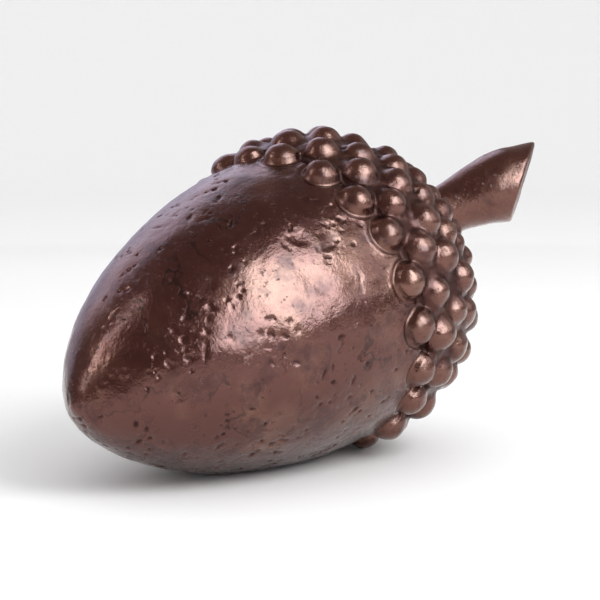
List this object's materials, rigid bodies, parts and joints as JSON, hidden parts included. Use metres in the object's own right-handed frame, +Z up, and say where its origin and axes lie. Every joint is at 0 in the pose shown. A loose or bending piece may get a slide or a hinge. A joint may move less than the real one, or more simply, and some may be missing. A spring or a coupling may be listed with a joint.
{
  "type": "cast metal acorn ornament",
  "caption": "Bronze-coloured cast acorn lying on its side, with a smooth pitted nut, a domed cup covered in round studs and a thick bent stem.",
  "frame": {"origin": "in the flat spot on the nut's underside, straight under the nut's lowest point, on the surface that the acorn lies on", "axes": "+Z up; the acorn's own axis lies above the X axis with the stem end towards +X and raised 14.5 degrees, and the stem bends towards -Y"},
  "size_m": [0.2962, 0.1662, 0.1617],
  "materials": {
    "bronze_patina": "dark brown patinated bronze, waxed and rubbed, with casting pits"
  },
  "bodies": {
    "root": {"acorn_casting": "bronze_patina"}
  },
  "joints": []
}
